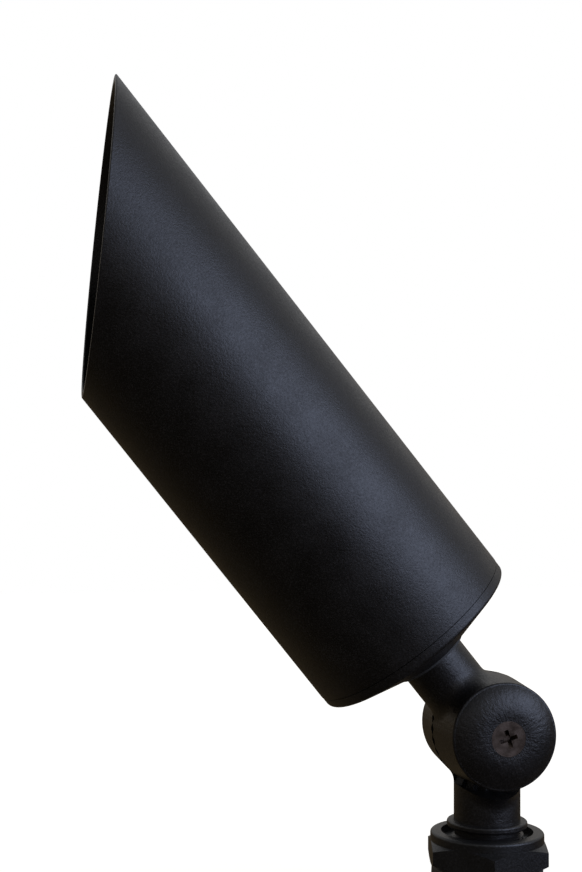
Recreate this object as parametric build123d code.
"""Garden spike spotlight: an angle-cut bullet head on a toothed knuckle, locked into a ground stake.

Millimetres, +Z up.  The origin is on the stake's axis at the ground line, under the stake's flange.
The knuckle turns about Y, and its screw head faces -Y.  The head points up and towards -X.
"""
from build123d import *
import os
from math import cos, pi, radians, sin, sqrt, tan

# ---------------------------------------------------------------- driving dimensions
# Pose of the head as it is left in the garden
head_elevation = 51.0          # of the tube's axis above the ground, degrees
hub_height = 26.5              # of the stake's hub above its flange

# Fits
sliding_gap = 0.05             # radial, on running and plugged fits
bonded_gap = 0.02              # radial, pressed or bonded pieces
over = 1.0                     # how far a cutter runs past the face that it cuts
bite = 0.5                     # how far a joined shape reaches into its body

# Thread form, as shares of the pitch
thread_foot = 0.88             # width of the ridge at its foot
thread_crest = 0.12            # width of the flat on its crest
thread_sink = 0.12             # how far the ridge reaches into its core, mm

# Shroud tube
tube_diameter = 63.5
tube_wall = 1.6
tube_length = 174.4            # seam to the tip of the angled mouth
mouth_angle = 45.8             # of the cut across the tube, degrees
seam_from_pivot = 38.0
seam_gap = 0.2                 # the fine line between cap and tube
mouth_edge_round = 0.3

# Rear cap
cap_rim_width = 2.1            # straight band behind the seam
cap_rim_inset = 0.1            # the band is this much smaller than the tube
cap_edge_round = 1.0
cap_cone_angle = 20.5          # of the back, from the seam plane, degrees
cap_boss_radius = 12.0
cap_floor = 4.6                # thickness at the boss
cap_skirt_wall = 2.4           # wall of the spigot that enters the tube
cap_spigot_length = 14.0
cap_floor_margin = 1.0         # flat floor around the lock washer
cap_thread_pitch = 1.5
cap_thread_depth = 0.45
cap_thread_turns = 3
cap_thread_relief = 0.3        # turned away past each end of the thread
cap_spigot_chamfer = 0.8

# Seals in and on the cap
o_ring_section = 2.0
o_ring_squeeze = 0.25
o_ring_from_seam = 3.6
o_ring_side_room = 0.2         # each side of the ring in its groove
o_ring_to_thread = 1.6
stem_gasket_thickness = 0.8
stem_gasket_radius = 11.3

# Knuckle
joint_radius = 16.3            # of both halves where they meet
disc_radius = 15.25            # at each face's rim, which the castings taper to
disc_edge_round = 0.7
front_rim = 16.1               # rim of the front disc, from the stems' plane
back_rim = 15.6
dome_rise = 3.0                # of each disc's face over its rim
dome_bow = 0.32                # how far the face swells past a cone, share of its rise
dome_land_radius = 5.6         # flat in the middle of each face
tooth_plane = 0.8              # where the two halves meet, behind the stems' plane
tooth_count = 30
tooth_depth = 1.25
tooth_tip_gap = 0.3
tooth_inner_radius = 10.6
tooth_ring_margin = 0.3        # the stepped-back ring starts this much inside the teeth
tooth_land = 0.16              # flat left on each tooth's crest
saddle_gap = 2.1               # between each stem and the other half's disc
groove_overrun = 0.3           # of the tooth grooves into the stem behind the saddle
stem_radius = 9.6
stem_blend = 5.0
seal_section = 1.2             # ring round the wire chamber
seal_mean_radius = 9.15
chamber_inner_radius = 4.3
chamber_outer_radius = 7.8
chamber_depth = 4.5
wire_bore_radius = 2.0         # from each stem into the wire chamber
wire_bore_from_teeth = 3.8     # its middle, from the tooth plane
wire_bore_mouth_wall = 1.5     # left between the saddle and the wide bore of each stem
tail_radius = 7.9              # threaded tail of the upper stem
tail_bore_radius = 4.6
tail_stand_out = 1.4           # past its nut
seal_round = 0.4               # edge rounding of soft rings, share of their section

# Knuckle screw
screw_head_radius = 4.95
screw_head_angle = 82.0
screw_head_land = 0.5
screw_radius = 2.4
screw_length = 31.0
screw_point = 0.6              # chamfer at the screw's end
screw_point_room = 1.0         # left under the screw's end
screw_recess_width = 1.15
screw_recess_span = 5.2
screw_recess_depth = 2.0
screw_recess_taper = 0.35      # width of the recess at its floor, share of its span
screw_turned = 17.0            # of the cross off upright, counterclockwise, degrees

# Lower stem, collar and threaded nipple
collar_below_pivot = 26.4      # its upper face
collar_radius = 11.6
collar_thickness = 1.9
collar_edge_round = 0.6
nipple_radius = 10.46          # over the thread's crests
nipple_pitch = 1.814
nipple_thread_depth = 1.0
nipple_length = 28.5
nipple_thread_stop = 0.3       # plain end under the thread
nipple_bore_radius = 6.8
thread_on_show = 1.3           # between collar and locknut

# Locknut
nut_across_flats = 32.8
nut_hex_height = 6.8
nut_corner_angle = 18.0
nut_chamfer_angle = 30.0
nut_chamfer_margin = 0.1       # how far the corner chamfers run over flats and corners
nut_shoulder_radius = 16.4
nut_shoulder_height = 2.6
nut_shoulder_round = 0.8
nut_mouth_radius = 13.3
nut_mouth_depth = 2.2

# Stem fastening inside the cap
washer_thickness = 1.2
washer_radius = 12.0
stem_nut_across_flats = 22.0
stem_nut_height = 4.0

# Lamp carrier
post_from_skirt = 2.7          # between the bracket's end and the cap's skirt
post_radius = 4.0
post_top = 50.0                # from the pivot along the tube
post_foot_rise = 0.6           # of each post's foot over the floor, inside the rising wall
bracket_width = 17.0
bracket_thickness = 1.2
bracket_end_radius = 5.0
bracket_window_radius = 5.5    # lets the leads through
small_screw_radius = 1.45
small_screw_head_radius = 2.9
small_screw_head_height = 1.9
small_screw_head_round = 0.85
small_screw_slot = 0.7
small_screw_slot_depth = 0.95
small_screw_length = 6.0
small_screw_hole_depth = 7.0   # in each cast post

# Lamp holder and lamp
holder_length = 24.0
holder_width = 14.0
holder_height = 12.5
holder_screw_spread = 8.5
holder_ear_height = 5.0
holder_corner_round = 2.0
holder_top_chamfer = 0.6
holder_screw_room = 0.2        # between the tower and each screw's head
pin_spread = 5.3
pin_radius = 0.775
pin_length = 7.0               # out of the lamp's base
pin_root = 4.0                 # inside the lamp's base
pin_chamfer = 0.25
contact_bore_radius = 1.35
contact_wall = 0.35
contact_tail = 2.0             # below the bracket
contact_recess = 1.0           # below the holder's face
lamp_seat_gap = 0.3
lamp_base_length = 12.5
lamp_base_width = 16.0
lamp_base_depth = 10.5
lamp_base_round = 3.2
lamp_diameter = 49.5
lamp_reflector_depth = 25.5
lamp_neck_radius = 9.5
lamp_neck_floor = 1.2
lamp_glass_wall = 1.5
lamp_belly_out = 0.62          # the bowl's middle point: share of its way out
lamp_belly_up = 0.36           # and of its way up
lamp_rim_height = 2.0
lamp_rim_wall = 1.05
lamp_glass_thickness = 1.6
lamp_glass_chamfer = 0.3
capsule_radius = 4.2
capsule_length = 17.0
capsule_wall = 0.8
capsule_seat = 2.5             # depth of its foot in the base
filament_radius = 0.9
filament_length = 3.6
filament_wire = 0.22
filament_turns = 6
filament_below_dome = 2.0      # from the coil's middle to where the dome starts
filament_tail = 1.0

# Lens
lens_from_pivot = 117.0        # its back face
lens_thickness = 3.2
lens_edge_gap = 0.35
lens_bevel = 0.5
seat_ring_wall = 2.4
seat_ring_width = 3.0
lens_gasket_thickness = 1.2
lens_gasket_wall = 2.6
clip_thickness = 1.2
clip_wall = 2.2
clip_groove_depth = 0.6
clip_opening = 28.0            # angle of the gap, degrees
clip_ear_radius = 2.2
clip_ear_sink = 0.9            # of each ear's middle inside the clip's inner edge
clip_ear_turn = 4.0            # of each ear's middle from the end of the clip, degrees
clip_ear_hole = 0.8

# Leads inside the head
lead_radius = 1.1
lead_bend_room = 0.8           # from the bore's floor to where the leads turn into the knuckle
lead_bare_length = 2.0         # inside each contact
grommet_length = 7.0
grommet_lip_radius = 6.4
grommet_lip = 1.2
grommet_lip_round = 0.7

# Ground stake
hub_radius = 16.0
hub_draft = 1.2                # the hub widens by this much towards the flange
hub_edge_round = 1.0
flange_radius = 27.0
flange_thickness = 3.2
flange_edge_round = 1.0
gusset_count = 6
gusset_thickness = 2.2
gusset_height = 12.0
gusset_margin = 3.0            # from the flange's edge
gusset_top_width = 0.4
blade_length = 205.0
blade_top_width = 34.0
blade_neck_depth = 6.0         # down to where the blades start to narrow
blade_shoulder = 150.0         # depth at which the blades turn into the point
blade_shoulder_width = 19.0
blade_thickness = 2.6
blade_tip_width = 1.6
blade_rib_spacing = 30.0
blade_rib_thickness = 2.0
blade_rib_share = 0.72         # of the blades' width there
core_radius = 5.0
core_tip_radius = 2.5
cable_slot_width = 9.0
cable_slot_height = 8.0

# ---------------------------------------------------------------- derived places
tube_radius = tube_diameter / 2
tube_bore = tube_radius - tube_wall
spigot_radius = tube_bore - sliding_gap
skirt_bore = spigot_radius - cap_skirt_wall
post_spread = skirt_bore - bracket_end_radius - post_from_skirt
cap_outer = tube_radius - cap_rim_inset
cap_edge_run = cap_edge_round * tan(radians((90 - cap_cone_angle) / 2))
cap_corner = seam_from_pivot - cap_rim_width - cap_edge_run
boss_face = cap_corner - (cap_outer - cap_boss_radius) * tan(radians(cap_cone_angle))
stem_shoulder = boss_face - stem_gasket_thickness
cap_floor_face = boss_face + cap_floor
washer_face = cap_floor_face + washer_thickness
stem_nut_face = washer_face + stem_nut_height
tail_end = stem_nut_face + tail_stand_out
front_dome = front_rim + dome_rise
back_dome = back_rim + dome_rise
saddle_radius = joint_radius + saddle_gap
wire_bore_mouth = saddle_radius + wire_bore_mouth_wall
lead_foot = wire_bore_mouth + lead_bend_room
seal_half = seal_section / 2

collar_foot = collar_below_pivot + collar_thickness
nut_top = collar_foot + thread_on_show
nut_height = nut_shoulder_height + nut_hex_height
hub_top = flange_thickness + hub_height
pivot_height = hub_top + nut_height + nut_top
hub_bore = nipple_radius + sliding_gap

bracket_face = post_top + bracket_thickness
holder_face = bracket_face + holder_height
lamp_foot = holder_face + lamp_seat_gap
lamp_neck = lamp_foot + lamp_base_length
lamp_front = lamp_neck + lamp_reflector_depth

lens_radius = tube_bore - lens_edge_gap
gasket_back = lens_from_pivot - lens_gasket_thickness
seat_ring_back = gasket_back - seat_ring_width
clip_back = lens_from_pivot + lens_thickness

upright = (Align.CENTER, Align.CENTER, Align.MIN)
head_axis = (-cos(radians(head_elevation)), 0, sin(radians(head_elevation)))
head_top_side = (sin(radians(head_elevation)), 0, cos(radians(head_elevation)))
head_place = Location(Plane(origin=(0, 0, pivot_height), x_dir=head_top_side, z_dir=head_axis))
pivot_place = Pos(0, 0, pivot_height)


# ---------------------------------------------------------------- helpers
def rod(radius, low, high):
    """A cylinder about Z between two heights."""
    return Pos(0, 0, low) * Cylinder(radius, high - low, align=upright)


def ring(outer, inner, low, high):
    """A tube about Z between two heights."""
    return rod(outer, low, high) - rod(inner, low - over, high + over)


def cross_rod(radius, one_end, other_end):
    """A cylinder about Y between two places along Y, given in either order."""
    near, far = sorted((one_end, other_end))
    return Pos(0, near, 0) * Rot(-90, 0, 0) * Cylinder(radius, far - near, align=upright)


def turned(outline):
    """Turn a closed outline of (radius, height) points about Z."""
    face = make_face(Polyline(*[(r, 0, z) for r, z in outline], close=True))
    return revolve(face, Axis.Z)


def turned_across(outline):
    """Turn a closed outline of (radius, place along Y) points about Y."""
    return Rot(-90, 0, 0) * turned(outline)


def thread(crest, depth, pitch, low, high):
    """A V thread that stands on a core, as one helical ridge."""
    root = crest - depth
    path = Pos(0, 0, low + pitch / 2) * Helix(pitch, high - low - pitch, root)
    half_foot = pitch * thread_foot / 2
    half_crest = pitch * thread_crest / 2
    outline = Polyline(
        (-thread_sink, 0, -half_foot), (depth, 0, -half_crest),
        (depth, 0, half_crest), (-thread_sink, 0, half_foot), close=True)
    start = Pos(root, 0, low + pitch / 2)
    return sweep(start * make_face(outline), path=path, is_frenet=True)


def hex_prism(across_flats, low, high, corner_angle=0.0):
    """A hexagonal bar about Z."""
    corner_radius = across_flats / sqrt(3)
    section = Rot(0, 0, corner_angle) * RegularPolygon(corner_radius, 6)
    return Pos(0, 0, low) * extrude(section, high - low)


def chamfer_cone(across_flats, low, high, angle):
    """The turned shape that takes the corners off both ends of a hexagon."""
    corner_radius = across_flats / sqrt(3) + nut_chamfer_margin
    flat_radius = across_flats / 2 - nut_chamfer_margin
    drop = (corner_radius - flat_radius) * tan(radians(angle))
    return turned([
        (0, low), (flat_radius, low), (corner_radius, low + drop),
        (corner_radius, high - drop), (flat_radius, high), (0, high),
    ])


parts = {}
at_teeth = Pos(0, tooth_plane, 0)

# ---------------------------------------------------------------- knuckle discs
def disc_blank(rim, joint, far_side):
    """A domed disc about Y that faces -Y, tapers to its rim, and has a plain end at far_side."""
    edge = disc_radius - disc_edge_round
    side_start = -rim + disc_edge_round
    taper = (joint_radius - disc_radius) / (joint - side_start)
    far_radius = joint_radius + taper * (far_side - joint)
    corner = disc_edge_round * (1 - sin(radians(45)))
    dome = rim + dome_rise
    middle = ((edge + dome_land_radius) / 2, -rim - dome_rise * (0.5 + dome_bow))
    side = Line((far_radius, far_side), (disc_radius, side_start))
    edge_arc = ThreePointArc((disc_radius, side_start), (disc_radius - corner, -rim + corner), (edge, -rim))
    face_arc = ThreePointArc((edge, -rim), middle, (dome_land_radius, -dome))
    land = Polyline((dome_land_radius, -dome), (0, -dome), (0, far_side), (far_radius, far_side))
    return revolve(make_face([side, edge_arc, face_arc, land]), Axis.Y)


def blend_loop(body):
    """Round the closed line where the stem enters the disc's side."""
    loops = [
        edge for edge in body.edges()
        if edge.geom_type not in (GeomType.CIRCLE, GeomType.LINE)
    ]
    return fillet(loops, stem_blend)


def tooth_groove(face_side):
    """One V groove along +X whose mouth is on the plane y = 0."""
    share = tan(pi / tooth_count)
    sections = []
    for reach in (tooth_inner_radius, saddle_radius + groove_overrun):
        depth = tooth_depth * reach / joint_radius
        half = reach * share - tooth_land / 2
        sections.append(make_face(Polyline(
            (reach, 0, -half), (reach, 0, half), (reach, face_side * depth, 0), close=True)))
    return loft(sections, ruled=True)


def toothed(body, face_y, face_side):
    """Cut the radial grooves into a half whose toothed face is at face_y."""
    groove = Pos(0, face_y, 0) * tooth_groove(face_side)
    return body - [Rot(0, 360.0 * i / tooth_count, 0) * groove for i in range(tooth_count)]


def half_face(body, side):
    """Cut away what lies past the tooth plane, then the ring of teeth and the wire chamber."""
    past_disc = -side * (front_dome + back_dome)
    ring_face = side * tooth_tip_gap / 2
    hub_radius = tooth_inner_radius - tooth_ring_margin
    body -= at_teeth * turned_across([
        (0, 0), (hub_radius, 0), (hub_radius, ring_face),
        (saddle_radius, ring_face), (saddle_radius, past_disc), (0, past_disc),
    ])
    body = toothed(body, tooth_plane + ring_face, side)
    mouth = -side * over
    floor = side * chamber_depth
    return body - at_teeth * turned_across([
        (chamber_inner_radius, mouth), (chamber_outer_radius, mouth),
        (chamber_outer_radius, floor), (chamber_inner_radius, floor),
    ])


def seal_groove():
    """The ring-shaped room for the seal, shared by both halves."""
    room = seal_half + sliding_gap
    near = tooth_plane - room
    far = tooth_plane + room
    middle = cross_rod(seal_mean_radius - room, near - over, far + over)
    return cross_rod(seal_mean_radius + room, near, far) - middle


# ---------------------------------------------------------------- upper half: front disc, stem and tail
blank = disc_blank(front_rim, tooth_plane, back_rim)
tilt = Rot(0, head_elevation - 90, 0)
upper = blend_loop(blank + tilt * rod(stem_radius, 0, stem_shoulder))
upper = half_face(upper, -1) - seal_groove()
upper += tilt * rod(tail_radius, stem_shoulder - bite, tail_end)
upper -= tilt * rod(tail_bore_radius, wire_bore_mouth, tail_end + over)
upper -= Pos(0, tooth_plane - wire_bore_from_teeth, 0) * tilt * rod(
    wire_bore_radius, chamber_outer_radius - wire_bore_radius, wire_bore_mouth + bite)
head_depth = (screw_head_radius - screw_radius) / tan(radians(screw_head_angle / 2))
head_bore = screw_head_radius + sliding_gap
shank_bore = screw_radius + sliding_gap
sink = turned([
    (0, -over), (head_bore, -over), (head_bore, screw_head_land),
    (shank_bore, screw_head_land + head_depth), (shank_bore, screw_length), (0, screw_length),
])
screw_place = Pos(0, -front_dome, 0) * Rot(-90, 0, -screw_turned)
upper -= screw_place * sink
parts["upper_knuckle"] = pivot_place * upper

# ---------------------------------------------------------------- lower half: back disc, stem, collar, nipple
blank = mirror(disc_blank(back_rim, -tooth_plane, front_rim), Plane.XZ)
lower = blend_loop(blank + rod(stem_radius, -collar_below_pivot, 0))
lower = half_face(lower, 1) - seal_groove()
collar = fillet(rod(collar_radius, -collar_foot, -collar_below_pivot).edges(), collar_edge_round)
nipple_end = collar_foot + nipple_length
lower += collar
lower += rod(nipple_radius - nipple_thread_depth, -nipple_end, -collar_foot + bite)
lower += thread(
    nipple_radius, nipple_thread_depth, nipple_pitch,
    -nipple_end + nipple_thread_stop, -collar_foot - nipple_thread_stop)
lower -= rod(nipple_bore_radius, -nipple_end - over, -wire_bore_mouth)
lower -= Pos(0, tooth_plane + wire_bore_from_teeth, 0) * rod(
    wire_bore_radius, -wire_bore_mouth - bite, -chamber_outer_radius + wire_bore_radius)
tapped_floor = screw_length - front_dome + screw_point_room
lower -= cross_rod(shank_bore, tooth_plane - over, tapped_floor)
parts["lower_knuckle"] = pivot_place * lower

# ---------------------------------------------------------------- knuckle seal
seal = cross_rod(seal_mean_radius + seal_half, tooth_plane - seal_half, tooth_plane + seal_half)
seal -= cross_rod(seal_mean_radius - seal_half, tooth_plane - seal_section, tooth_plane + seal_section)
parts["knuckle_seal"] = pivot_place * fillet(seal.edges(), seal_section * seal_round)

# ---------------------------------------------------------------- knuckle screw
screw = turned([
    (0, 0), (screw_head_radius, 0), (screw_head_radius, screw_head_land),
    (screw_radius, screw_head_land + head_depth), (screw_radius, screw_length - screw_point),
    (screw_radius - screw_point, screw_length), (0, screw_length),
])
half_span = screw_recess_span / 2
half_floor = half_span * screw_recess_taper
wing = make_face(Polyline(
    (-half_span, 0, 0), (half_span, 0, 0),
    (half_floor, 0, screw_recess_depth), (-half_floor, 0, screw_recess_depth), close=True))
for turn in (0, 90):
    screw -= Rot(0, 0, turn) * extrude(wing, screw_recess_width / 2, both=True)
parts["knuckle_screw"] = pivot_place * screw_place * screw

# ---------------------------------------------------------------- locknut
nut_foot = nut_top + nut_height
hex_top = nut_top + nut_shoulder_height
nut = hex_prism(nut_across_flats, -nut_foot, -hex_top, nut_corner_angle)
nut &= chamfer_cone(nut_across_flats, -nut_foot, -hex_top, nut_chamfer_angle)
shoulder = rod(nut_shoulder_radius, -hex_top - bite, -nut_top)
shoulder = fillet(shoulder.edges().sort_by(Axis.Z)[-1], nut_shoulder_round)
nut += shoulder
nut -= rod(hub_bore, -nut_foot - over, -nut_top + over)
nut -= rod(nut_mouth_radius, -nut_top - nut_mouth_depth, -nut_top + over)
parts["locknut"] = pivot_place * nut

# ---------------------------------------------------------------- rear cap
post_foot = cap_floor_face + post_foot_rise
spigot_end = seam_from_pivot + cap_spigot_length
floor_radius = washer_radius + cap_floor_margin
inner_cone_rise = (skirt_bore - floor_radius) * tan(radians(cap_cone_angle))
tail_bore = tail_radius + sliding_gap
cap = turned([
    (tail_bore, boss_face), (cap_boss_radius, boss_face), (cap_outer, cap_corner),
    (cap_outer, seam_from_pivot), (spigot_radius, seam_from_pivot),
    (spigot_radius, spigot_end - cap_spigot_chamfer), (spigot_radius - cap_spigot_chamfer, spigot_end),
    (skirt_bore, spigot_end), (skirt_bore, cap_floor_face + inner_cone_rise),
    (floor_radius, cap_floor_face), (tail_bore, cap_floor_face),
])
circles = cap.edges().filter_by(GeomType.CIRCLE)
cap = fillet(circles.sort_by_distance((cap_outer, 0, cap_corner))[0], cap_edge_round)
groove_low = seam_from_pivot + o_ring_from_seam
groove_high = groove_low + o_ring_section + 2 * o_ring_side_room
groove_floor = tube_bore - o_ring_section + o_ring_squeeze
cap -= ring(spigot_radius + over, groove_floor, groove_low, groove_high)
thread_low = groove_high + o_ring_to_thread
thread_high = thread_low + cap_thread_pitch * (cap_thread_turns + 1)
cap -= ring(
    spigot_radius + over, spigot_radius - cap_thread_depth,
    thread_low - cap_thread_relief, thread_high + cap_thread_relief)
cap += thread(spigot_radius, cap_thread_depth, cap_thread_pitch, thread_low, thread_high)
small_screw_bore = small_screw_radius + sliding_gap
for side in (-1, 1):
    post = Pos(0, side * post_spread, 0) * rod(post_radius, post_foot, post_top)
    hole = Pos(0, side * post_spread, 0) * rod(
        small_screw_bore, post_top - small_screw_hole_depth, post_top + over)
    cap = cap + post - hole
parts["rear_cap"] = head_place * cap

o_ring = ring(
    tube_bore - bonded_gap, groove_floor + bonded_gap,
    groove_low + o_ring_side_room, groove_high - o_ring_side_room)
parts["cap_o_ring"] = head_place * fillet(o_ring.edges(), o_ring_section * seal_round)

gasket = ring(stem_gasket_radius, tail_bore, stem_shoulder, boss_face)
parts["stem_gasket"] = head_place * gasket

washer = ring(washer_radius, tail_bore, cap_floor_face, washer_face)
parts["stem_lock_washer"] = head_place * washer
stem_nut = hex_prism(stem_nut_across_flats, washer_face, stem_nut_face)
stem_nut &= chamfer_cone(stem_nut_across_flats, washer_face, stem_nut_face, nut_chamfer_angle)
stem_nut -= rod(tail_bore, washer_face - over, stem_nut_face + over)
parts["stem_nut"] = head_place * stem_nut

# ---------------------------------------------------------------- lamp bracket and its screws
def small_screw(head_seat, from_axis):
    """A pan-head screw along the tube's axis whose head rests at head_seat."""
    head_top = head_seat + small_screw_head_height
    head = rod(small_screw_head_radius, head_seat, head_top)
    head = fillet(head.edges().sort_by(Axis.Z)[-1], small_screw_head_round)
    slot = Pos(0, 0, head_top - small_screw_slot_depth) * Box(
        2 * small_screw_head_radius + over, small_screw_slot, small_screw_head_height, align=upright)
    shank = rod(small_screw_radius, head_seat - small_screw_length, head_seat)
    return Pos(0, from_axis, 0) * (head + shank - slot)


bracket_reach = post_spread + bracket_end_radius
bracket_outline = RectangleRounded(bracket_width, 2 * bracket_reach, bracket_end_radius)
bracket = Pos(0, 0, post_top) * extrude(bracket_outline, bracket_thickness)
bracket -= rod(bracket_window_radius, post_top - over, bracket_face + over)
for side in (-1, 1):
    for spread in (post_spread, holder_screw_spread):
        bracket -= Pos(0, side * spread, 0) * rod(small_screw_bore, post_top - over, bracket_face + over)
parts["lamp_bracket"] = head_place * bracket
parts["bracket_screws"] = head_place * Compound(
    [small_screw(bracket_face, side * post_spread) for side in (-1, 1)])

# ---------------------------------------------------------------- lamp holder, contacts, screws
pin_place = pin_spread / 2
tower_half = holder_screw_spread - small_screw_head_radius - holder_screw_room
ear_face = bracket_face + holder_ear_height
holder = Pos(0, 0, bracket_face) * Box(holder_width, holder_length, holder_ear_height, align=upright)
holder = fillet(holder.edges().filter_by(Axis.Z), holder_corner_round)
tower = Pos(0, 0, bracket_face) * Box(holder_width, 2 * tower_half, holder_height, align=upright)
tower = chamfer(tower.edges().sort_by(Axis.Z)[-4:], holder_top_chamfer)
holder += tower
for side in (-1, 1):
    holder -= Pos(0, side * pin_place, 0) * rod(contact_bore_radius, bracket_face - over, holder_face + over)
    holder -= Pos(0, side * holder_screw_spread, 0) * rod(
        small_screw_bore, bracket_face - over, ear_face + over)
parts["lamp_holder"] = head_place * holder

contact_outer = contact_bore_radius - bonded_gap
contact_inner = contact_outer - contact_wall
contact_foot = post_top - contact_tail
contact_top = holder_face - contact_recess
parts["holder_contacts"] = head_place * Compound([
    Pos(0, side * pin_place, 0) * ring(contact_outer, contact_inner, contact_foot, contact_top)
    for side in (-1, 1)
])
parts["holder_screws"] = head_place * Compound(
    [small_screw(ear_face, side * holder_screw_spread) for side in (-1, 1)])

# ---------------------------------------------------------------- leads and their grommet
leads = []
for side in (-1, 1):
    sleeve = rod(lead_radius, lead_foot, contact_foot)
    bare_end = rod(contact_inner - bonded_gap, contact_foot - bite, contact_foot + lead_bare_length)
    leads.append(Pos(0, side * pin_place, 0) * (sleeve + bare_end))
parts["lead_wires"] = head_place * Compound(leads)

grommet_foot = tail_end - grommet_length
grommet = rod(tail_bore_radius - bonded_gap, grommet_foot, tail_end)
grommet += rod(grommet_lip_radius, tail_end, tail_end + grommet_lip)
grommet = fillet(grommet.edges().sort_by(Axis.Z)[-1], grommet_lip_round)
for side in (-1, 1):
    grommet -= Pos(0, side * pin_place, 0) * rod(
        lead_radius + bonded_gap, grommet_foot - over, tail_end + grommet_lip + over)
parts["lead_grommet"] = head_place * grommet

# ---------------------------------------------------------------- lamp
base = Pos(0, 0, lamp_foot) * Box(lamp_base_depth, lamp_base_width, lamp_base_length, align=upright)
base = fillet(base.edges().filter_by(Axis.Z), lamp_base_round)
for side in (-1, 1):
    base -= Pos(0, side * pin_place, 0) * rod(pin_radius + bonded_gap, lamp_foot - over, lamp_foot + pin_root)
capsule_bore = capsule_radius + sliding_gap
capsule_foot = lamp_neck - capsule_seat
base -= rod(capsule_bore, capsule_foot, lamp_neck + over)
parts["lamp_base"] = head_place * base
pin = rod(pin_radius, lamp_foot - pin_length, lamp_foot + pin_root)
pin = chamfer(pin.edges().sort_by(Axis.Z)[0], pin_chamfer)
parts["lamp_pins"] = head_place * Compound([Pos(0, side * pin_place, 0) * pin for side in (-1, 1)])

lamp_radius = lamp_diameter / 2
rim_back = lamp_front - lamp_rim_height
bowl_depth = rim_back - lamp_neck


def bowl(offset, foot):
    """The reflector's curve from its neck at foot up to the rim, moved inwards by offset."""
    near = (lamp_neck_radius - offset, foot)
    belly_radius = lamp_neck_radius - offset + lamp_belly_out * (lamp_radius - lamp_neck_radius)
    far = (lamp_radius - offset, rim_back)
    return near, (belly_radius, lamp_neck + lamp_belly_up * bowl_depth), far


outer_bowl = bowl(0, lamp_neck)
inner_bowl = bowl(lamp_glass_wall, lamp_neck + lamp_neck_floor)
rim_bore = lamp_radius - lamp_rim_wall
rim = Polyline(
    outer_bowl[2], (lamp_radius, lamp_front), (rim_bore, lamp_front), (rim_bore, rim_back), inner_bowl[2])
neck = Polyline(
    inner_bowl[0], (capsule_bore, lamp_neck + lamp_neck_floor), (capsule_bore, lamp_neck), outer_bowl[0])
section = make_face([ThreePointArc(*outer_bowl), rim, ThreePointArc(*inner_bowl), neck])
parts["lamp_reflector"] = head_place * revolve(Plane.XZ * section, Axis.Z)
front_glass = rod(rim_bore - bonded_gap, rim_back + bonded_gap, rim_back + lamp_glass_thickness)
front_glass = chamfer(front_glass.edges().sort_by(Axis.Z)[-1], lamp_glass_chamfer)
parts["lamp_front_glass"] = head_place * front_glass

capsule_shoulder = capsule_foot + capsule_length - capsule_radius


def capsule_solid(radius, foot):
    """A round-ended rod whose dome is centred on the capsule's shoulder."""
    return rod(radius, foot, capsule_shoulder) + Pos(0, 0, capsule_shoulder) * Sphere(radius)


capsule = capsule_solid(capsule_radius, capsule_foot)
capsule -= capsule_solid(capsule_radius - capsule_wall, capsule_foot - over)
parts["lamp_capsule"] = head_place * capsule

coil_foot = capsule_shoulder - filament_below_dome - filament_length / 2
coil_pitch = filament_length / filament_turns
coil_path = Pos(0, 0, coil_foot) * Helix(coil_pitch, filament_length, filament_radius)
coil_start = Pos(filament_radius, 0, coil_foot) * Rot(90, 0, 0) * Circle(filament_wire)
coil = sweep(coil_start, path=coil_path, is_frenet=True)
coil_top = coil_foot + filament_length
leg_place = Pos(filament_radius, 0, 0)
coil += leg_place * rod(filament_wire, capsule_foot + bonded_gap, coil_foot + filament_wire / 2)
coil += leg_place * rod(filament_wire, coil_top, coil_top + filament_tail)
parts["lamp_filament"] = head_place * coil

# ---------------------------------------------------------------- shroud tube and what it carries
tube_back = seam_from_pivot + seam_gap
tube_tip = seam_from_pivot + tube_length
tube = ring(tube_radius, tube_bore, tube_back, tube_tip)
mouth_middle = tube_tip - tube_radius * tan(radians(mouth_angle))
beyond_mouth = Pos(0, 0, mouth_middle) * Rot(0, -mouth_angle, 0) * Box(
    4 * tube_diameter, 2 * tube_diameter, 2 * tube_diameter, align=upright)
tube -= beyond_mouth
tube = fillet(tube.edges().filter_by(GeomType.ELLIPSE), mouth_edge_round)
clip_groove = tube_bore + clip_groove_depth
tube -= ring(clip_groove, tube_bore - over, clip_back, clip_back + clip_thickness + sliding_gap)
parts["shroud_tube"] = head_place * tube

seat_ring = ring(tube_bore - bonded_gap, tube_bore - seat_ring_wall, seat_ring_back, gasket_back)
parts["lens_seat_ring"] = head_place * seat_ring
lens_gasket = ring(lens_radius, lens_radius - lens_gasket_wall, gasket_back, lens_from_pivot)
parts["lens_gasket"] = head_place * lens_gasket
lens = rod(lens_radius, lens_from_pivot, clip_back)
parts["lens"] = head_place * chamfer(lens.edges(), lens_bevel)

clip_outer = clip_groove - sliding_gap
clip_inner = clip_outer - clip_wall
clip = ring(clip_outer, clip_inner, clip_back, clip_back + clip_thickness)
half_opening = radians(clip_opening / 2)
wedge_depth = tube_diameter * cos(half_opening)
wedge_half = tube_diameter * sin(half_opening)
wedge = make_face(Polyline((0, 0), (-wedge_depth, -wedge_half), (-wedge_depth, wedge_half), close=True))
clip -= Pos(0, 0, clip_back - over) * extrude(wedge, clip_thickness + 2 * over)
for side in (-1, 1):
    ear_angle = 180 + side * (clip_opening / 2 + clip_ear_turn)
    ear = Rot(0, 0, ear_angle) * Pos(clip_inner - clip_ear_sink, 0, 0)
    clip += ear * rod(clip_ear_radius, clip_back, clip_back + clip_thickness)
    clip -= ear * rod(clip_ear_hole, clip_back - over, clip_back + clip_thickness + over)
parts["lens_clip"] = head_place * clip

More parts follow.
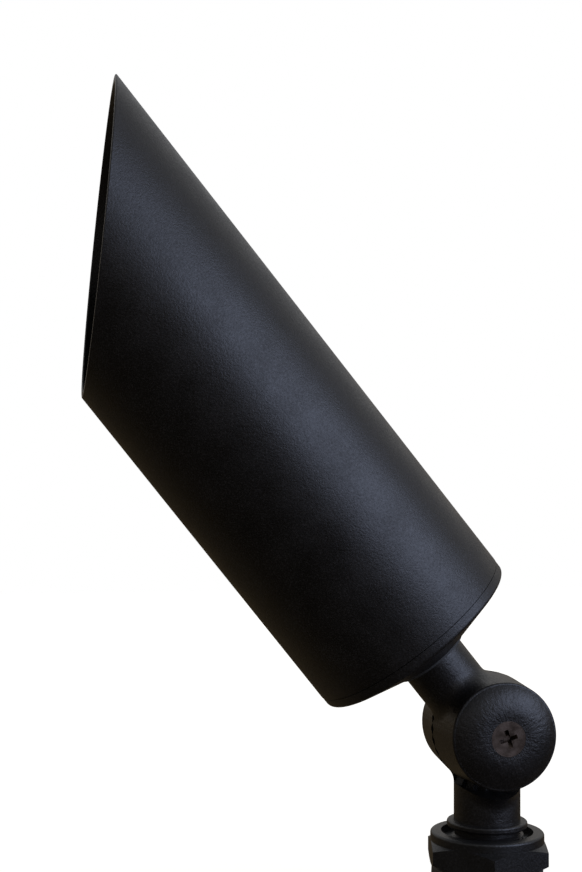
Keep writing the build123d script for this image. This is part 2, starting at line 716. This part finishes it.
# ---------------------------------------------------------------- ground stake
hub = turned([
    (0, 0), (hub_radius + hub_draft, 0), (hub_radius, hub_top), (0, hub_top),
])
hub = fillet(hub.edges().sort_by(Axis.Z)[-1], hub_edge_round)
flange = fillet(rod(flange_radius, 0, flange_thickness).edges().sort_by(Axis.Z)[-1], flange_edge_round)
stake = hub + flange
gusset_foot = flange_thickness - bite
gusset_top = flange_thickness + gusset_height
gusset_face = make_face(Polyline(
    (hub_radius - over, 0, gusset_foot), (flange_radius - gusset_margin, 0, gusset_foot),
    (hub_radius + gusset_top_width, 0, gusset_top), (hub_radius - over, 0, gusset_top), close=True))
gusset = extrude(gusset_face, gusset_thickness / 2, both=True)
for i in range(gusset_count):
    stake += Rot(0, 0, (i + 0.5) * 360 / gusset_count) * gusset

half_top = blade_top_width / 2
half_shoulder = blade_shoulder_width / 2
half_tip = blade_tip_width / 2
blade_face = make_face(Polyline(
    (-half_top, 0, over), (half_top, 0, over), (half_top, 0, -blade_neck_depth),
    (half_shoulder, 0, -blade_shoulder), (half_tip, 0, -blade_length), (-half_tip, 0, -blade_length),
    (-half_shoulder, 0, -blade_shoulder), (-half_top, 0, -blade_neck_depth), close=True))
blade = extrude(blade_face, blade_thickness / 2, both=True)
stake += blade
stake += Rot(0, 0, 90) * blade
stake += Pos(0, 0, -blade_shoulder) * Cone(core_tip_radius, core_radius, blade_shoulder, align=upright)
for i in range(1, int(blade_shoulder // blade_rib_spacing) + 1):
    depth = i * blade_rib_spacing
    share = depth / blade_shoulder
    half_width = half_top * (1 - share) + half_shoulder * share
    stake += rod(half_width * blade_rib_share, -depth, -depth + blade_rib_thickness)
stake -= rod(hub_bore, flange_thickness, hub_top + over)
stake -= Pos(0, 0, flange_thickness) * Box(
    2 * flange_radius, cable_slot_width, cable_slot_height,
    align=(Align.MIN, Align.CENTER, Align.MIN))
parts["ground_stake"] = stake

# ---------------------------------------------------------------- files
os.makedirs("parts", exist_ok=True)
for name, piece in parts.items():
    export_step(piece, f"parts/{name}.step")
